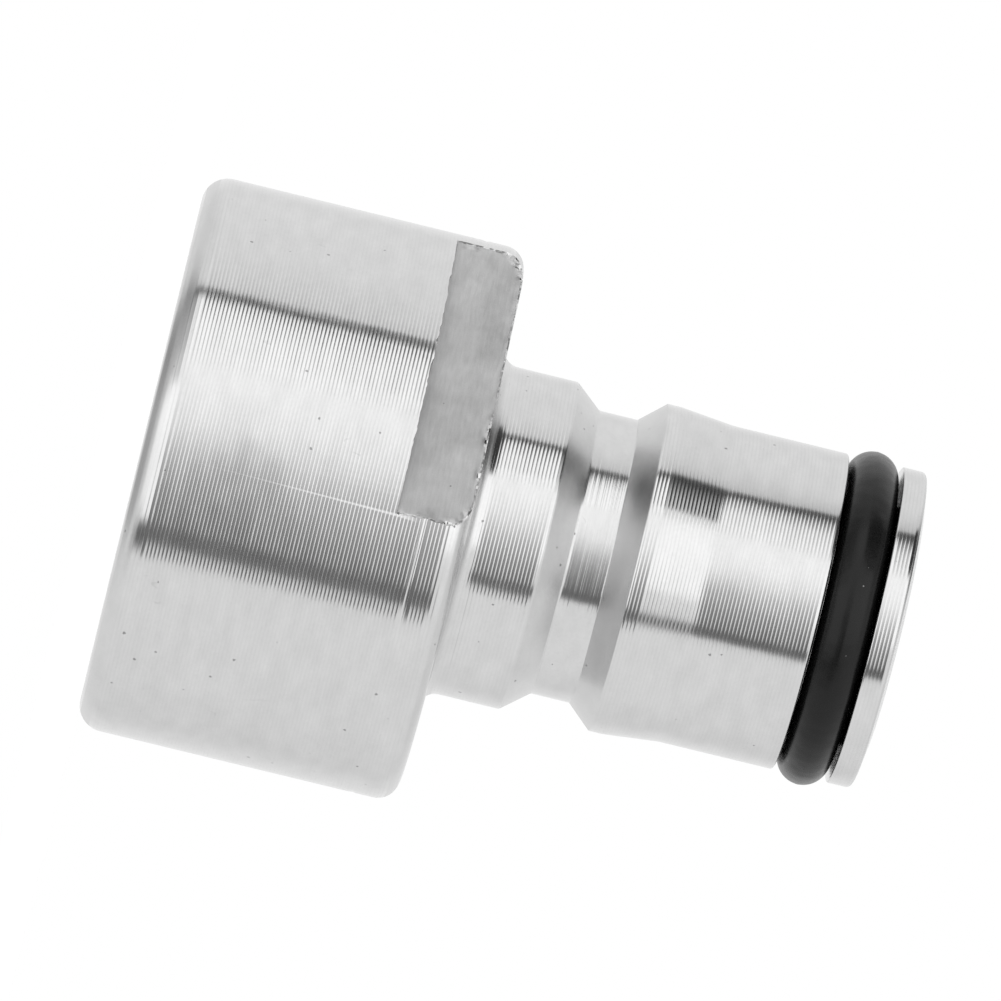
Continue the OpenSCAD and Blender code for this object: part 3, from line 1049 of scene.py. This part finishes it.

# %% [markdown]
# ## Which piece moves
#
# The poppet and its small ring slide down into the chamber. Everything else stays with the cap.
# The spring is held by the cap at its foot, and gets a mesh of its own.

# %% Tie every piece to its body
for piece, body, node, slot in (
    (cap, "cap", "cap_body", "turned_steel"),
    (post_ring, "cap", "post_ring", "black_rubber"),
    (barb, "cap", "hose_barb", "polished_steel"),
    (bottle_seal, "cap", "bottle_seal", "silicone"),
    (spring, "cap", "poppet_spring", "spring_steel"),
    (poppet, "poppet", "poppet_pin", "polished_steel"),
    (valve_ring, "poppet", "poppet_seal", "black_rubber"),
):
    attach(piece, body)
    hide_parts(node)
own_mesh(spring)

# %% [markdown]
# ## The camera
#
# The photograph looks square at the side of the cap, through a long lens, with the rim's edge in
# line with the eye. The cap lies across the picture, so the camera is rolled onto its side. Its
# frame is built from three directions: towards the camera, towards the top of the picture, and up
# the cap's axis.

# %% Place the camera
TURN = math.radians(38.1)       # from the flat's face to the camera
ROLL = math.radians(13.65)      # the axis dips this much below the picture's right
DISTANCE, EYE_Z = 0.580, 0.00003            # of the camera from the axis and above the rim, in metres
AIM_TOP, AIM_Z = 0.00184, 0.0191            # the point in the middle of the picture, in metres
LENS, SENSOR = 394.6, 36
toward_camera = Vector((math.sin(TURN), -math.cos(TURN), 0))
toward_top = Vector((-math.cos(TURN), -math.sin(TURN), 0))
up = Vector((0, 0, 1))

eye = toward_camera * DISTANCE + up * EYE_Z
target = toward_top * AIM_TOP + up * AIM_Z
backward = (eye - target).normalized()
right = (up * math.cos(ROLL) + toward_top * math.sin(ROLL))
right = (right - backward * right.dot(backward)).normalized()
above = backward.cross(right)
camera_data = bpy.data.cameras.new("camera")
camera_data.lens, camera_data.sensor_width = LENS, SENSOR
camera_data.clip_start, camera_data.clip_end = 0.01, 20
camera = bpy.data.objects.new("camera", camera_data)
camera.matrix_world = Matrix.Translation(eye) @ Matrix((right, above, backward)).transposed().to_4x4()
bpy.context.scene.collection.objects.link(camera)
bpy.context.scene.camera = camera
print("the picture is", round(SENSOR / LENS * DISTANCE / MM, 1), "mm wide at the cap")

# %% [markdown]
# ## The studio
#
# Polished metal has almost no colour of its own: what it shows is the room. A product photographer
# therefore lights a cap like this with panels in a pale room. Rubber and paper show the light that
# falls on them instead. The two are kept apart here: matt surfaces get plain light from the air
# and a soft sun, and mirror-like ones see a painted dome.

# %% White air
PLAIN = 0.62            # level of the light that falls on matt surfaces


def seen_directly(finish):
    """1 for rays from the eye or from a mirror-like surface, 0 for scattered light."""
    eye_ray = finish.node("ShaderNodeLightPath", out="Is Camera Ray")
    return (eye_ray + eye_ray.output("Is Glossy Ray") + eye_ray.output("Is Transmission Ray")).at_most(1.0)


air = Finish("studio_air", bpy.data.worlds.new("studio_air"))
seen = seen_directly(air)
bpy.context.scene.world = air.end_in(air.node(
    "ShaderNodeBackground", sockets={"Color": (1, 1, 1, 1), "Strength": seen + (1 - seen) * PLAIN}))
print("the air lights matt surfaces at", PLAIN)

# %% Hang a soft sun
SUN = 1.33              # strength of the sun, which adds about 0.3 to the plain level
SUN_WIDTH = 50          # angle under which it is seen, in degrees
SUN_PLACE = (45, 45)    # degrees round from the camera, and above level


def direction(around, height):
    """Unit direction, in degrees round from the camera towards the picture's top, and above level."""
    around, height = math.radians(around), math.radians(height)
    level = toward_camera * math.cos(around) + toward_top * math.sin(around)
    return level * math.cos(height) + up * math.sin(height)


sun_data = bpy.data.lights.new("soft_sun", "SUN")
sun_data.energy, sun_data.angle = SUN, math.radians(SUN_WIDTH)
sun = bpy.data.objects.new("soft_sun", sun_data)
sun.rotation_euler = direction(*SUN_PLACE).to_track_quat("Z", "Y").to_euler()
sun.visible_glossy = False
bpy.context.scene.collection.objects.link(sun)
print("the sun comes from", [round(c, 2) for c in direction(*SUN_PLACE)])

# %% [markdown]
# ### The floor
#
# A sheet of pale paper under the cap catches its shadow. Its faint glow, which only the eye sees,
# brings the lit paper up to the white of the air behind it, so that no horizon shows. The paper is
# clear from underneath, so that the thread inside the cap can be looked at as well.

# %% Lay the paper
PAPER_R, PAPER_GAP = 4.0, 0.00001       # radius of the paper, and how far it lies below the rim, in metres
PAPER_GLOW = 0.24

paper = Finish("pale_paper")
sheet = paper.node("ShaderNodeBsdfPrincipled", sockets={
    "Base Color": (0.86, 0.86, 0.86, 1), "Roughness": 1.0, "Specular IOR Level": 0.0,
    "Emission Color": (1, 1, 1, 1), "Emission Strength": seen_directly(paper) * PAPER_GLOW})
underneath = paper.node("ShaderNodeNewGeometry", out="Backfacing")
clear = paper.node("ShaderNodeBsdfTransparent")
bm = bmesh.new()
bmesh.ops.create_circle(bm, cap_ends=True, cap_tris=True, segments=96, radius=PAPER_R)
floor = add_object("floor", bm)
floor.location.z = -PAPER_GAP
floor.data.materials.append(paper.end_in(paper.node(
    "ShaderNodeMixShader", sockets={0: underneath, 1: sheet, 2: clear})))
floor.visible_glossy = False
print("floor", round(floor.dimensions.x, 1), "m across")

# %% [markdown]
# ### The painted dome
#
# A photographer asks of each spot in the room which face of the metal will show it. The dome is
# painted in the same way: a mirror turned by an angle moves its picture by twice that angle, so each
# point of the dome is known by twice the turn and twice the tilt of the face that shows it in the
# photograph. The picture is built from rows, each a ramp round the dome, and the height picks the
# row. A turning line sweeps its reflection up and down through some 15 degrees, so wherever two
# rows differ within that sweep the lines stand out, and wherever they agree the lines fade.

# %% Brightness of the dome's rows
AIR = 1.0
WINDOW = 1.42
EDGE = 0.05             # dark edge of the window
DUSK = 0.16             # dark end of the fall-off
BEHIND = [(-180, 0.70), (-140, 0.84), (-100, 0.96)]
SIDE = BEHIND + [(-40, 0.99), (-36, DUSK), (-28, DUSK), (-25, 1.30), (20, WINDOW), (27, WINDOW)]
ROOF = [(-180, 0.88), (-40, 0.86), (-10, 0.82), (10, 0.74)]
ROWS = {
    "deep": BEHIND + [
        (-42, 0.95), (-30, 0.50), (20, 0.52), (32, 0.40), (64, 0.38), (69, 0.85), (80, 0.98)],
    "cone": BEHIND + [
        (-42, 0.95), (-30, 0.84), (10, 0.80), (30, 0.68), (46, 0.60), (54, 0.50), (62, 0.38), (66, 0.26),
        (70, 0.28), (74, 0.62), (82, 0.90)],
    "below": SIDE + [
        (32, 0.85), (50, 0.66), (66, 0.50), (71, EDGE), (73.3, 0.92)],
    "bar": SIDE + [
        (32, 1.20), (68.5, 1.10), (69.5, EDGE), (72.3, EDGE), (73.3, 0.95)],
    "low": BEHIND + [
        (-42, 0.99), (-40, DUSK), (-28, 0.21), (-20, 0.34), (-12, 0.45), (-4, 0.57), (4, 0.74), (12, 0.96),
        (20, 1.10), (28, 1.20), (33, 1.28), (38, 1.32), (44, WINDOW), (68.5, WINDOW), (69.5, EDGE),
        (71.8, EDGE), (72.8, 1.02), (84, 1.04), (100, 1.04)],
    "level": BEHIND + [
        (-37, 0.99), (-35, DUSK), (-30, DUSK), (-28, 0.17), (-24, 0.21), (-16, 0.30), (-8, 0.43), (0, 0.62),
        (8, 0.94), (16, 1.18), (24, 1.28), (33, 1.31), (38, 1.31), (44, WINDOW), (64, 1.36), (68.5, 1.0),
        (69.5, EDGE), (72.3, EDGE), (73.3, 0.95), (82, 1.02), (100, 1.04)],
    "high": BEHIND + [
        (-36, 0.99), (-34, DUSK), (-29, DUSK), (-27, 0.95), (-14, 1.20), (-8, 1.36), (4, WINDOW),
        (22, WINDOW), (34, 1.32), (38, 1.26), (41, 1.00), (48, 0.86), (56, 0.72), (60, 0.52), (64, 0.34),
        (68, 0.10), (73, EDGE), (74, 0.75), (86, 0.92), (98, 1.00)],
    "upper": BEHIND + [
        (-40, 0.99), (-36, 0.5), (-28, 0.5), (-24, AIR), (-14, AIR), (-8, WINDOW), (45.5, WINDOW),
        (47, EDGE), (73.5, EDGE), (75, 0.85), (90, 0.95)],
    "loft": BEHIND + [
        (-14, AIR), (-8, WINDOW), (38, WINDOW), (43, EDGE), (76, EDGE), (80, 0.85), (100, AIR)],
    "ceiling": ROOF + [
        (30, 0.64), (46, 0.52), (52, 0.42), (58, 0.28), (64, 0.14), (72, 0.14), (76, 0.40), (82, 0.88),
        (180, 0.92)],
    "zenith": ROOF + [
        (28, 0.60), (38, EDGE), (76, EDGE), (80, 0.86), (180, 0.90)],
}
print("rows of the dome:", ", ".join(ROWS))

# %% [markdown]
# ### From rows to a picture
#
# The rows are laid over each other from the bottom up, each from the height where it starts. Two
# of these borders aren't level in the photograph: one droops towards the top side of the post, and
# both step aside on its low side. Behind the cap the dome is plain, so that the back looks calm.

# %% Join the rows
CHANGES = (             # each row above the lowest, and the heights between which it takes over
    ("cone", -94, -90), ("below", -60, -55), ("bar", -37, -33), ("low", -21, -17), ("level", -5, -1),
    ("high", 5.5, 7.5), ("upper", 15, 17), ("loft", 22, 26), ("ceiling", 70, 74), ("zenith", 84, 88))
LOW_SIDE = (24, 34)     # the low side ends between these, in degrees round
HIGH_UP, BELOW_DOWN = 2.2, 16           # how far the two borders step aside there, in degrees
DROOP, DROOP_FROM = 0.35, 56            # slope of the upper border, and where it begins
BACK = 0.92             # brightness behind the cap, as seen from the front
BACK_FROM, BACK_FULL = 0.62, 0.86       # how far behind a point lies for that, in shares of the radius


def dome_picture(finish, front, side, top):
    """Colour of the dome at a point, from how far it lies to the front, to the picture's top and up."""
    forward = front + 1
    around = side.math("ARCTAN2", side, forward) * (2 * math.degrees(1))
    height = top.math("ARCTAN2", top, (forward * forward + side * side) ** 0.5) * (2 * math.degrees(1))
    low_side = 1 - finish.step(around, *LOW_SIDE)
    droop = DROOP * (around - DROOP_FROM).at_least(0.0)
    shift = {"high": droop - HIGH_UP * low_side, "below": BELOW_DOWN * low_side}

    def row(name):
        stops = [((angle + 180) / 360, level / WINDOW) for angle, level in ROWS[name]]
        return finish.node("ShaderNodeValToRGB", {"stops": stops}, {0: (around + 180) / 360})

    def blend(share, first, second):
        return finish.node("ShaderNodeMix", {"data_type": "RGBA"},
                           {"Factor": share, "A": first, "B": second}, out="Result")

    picture = row("deep")
    for name, start, end in CHANGES:
        place = height + shift[name] if name in shift else height
        picture = blend(finish.step(place, start, end), picture, row(name))
    return blend(finish.step(0 - front, BACK_FROM, BACK_FULL), picture, finish.grey(BACK / WINDOW))


print("the window's upper border droops from", DROOP_FROM, "degrees round")

# %% Put up the dome
DOME_R, DOME_Z = 0.45, 0.02

bm = bmesh.new()
bmesh.ops.create_icosphere(bm, subdivisions=5, radius=DOME_R)
dome = add_object("dome", bm)
dome.data.shade_smooth()
dome.location.z = DOME_Z
dome.visible_camera = dome.visible_diffuse = dome.visible_shadow = False

paint = Finish("painted_dome")
where = paint.node("ShaderNodeTexCoord", out="Object")
front, side, top = (
    paint.node("ShaderNodeVectorMath", {"operation": "DOT_PRODUCT"}, {0: where, 1: axis}, out="Value")
    / DOME_R for axis in (toward_camera, toward_top, up))
dome.data.materials.append(paint.end_in(paint.node(
    "ShaderNodeEmission", sockets={"Color": dome_picture(paint, front, side, top), "Strength": WINDOW})))
print("dome", DOME_R, "m in radius, with", len(dome.data.materials[0].node_tree.nodes), "nodes")

# %% [markdown]
# ## Colours as they are written
#
# Blender's usual view bends bright tones as film does, so a pale grey comes out darker than it is
# written. The Standard view shows each colour as it is, and the white air stays white.

# %% Choose the view
bpy.context.scene.view_settings.view_transform = "Standard"
print("view:", bpy.context.scene.view_settings.view_transform)

# %% [markdown]
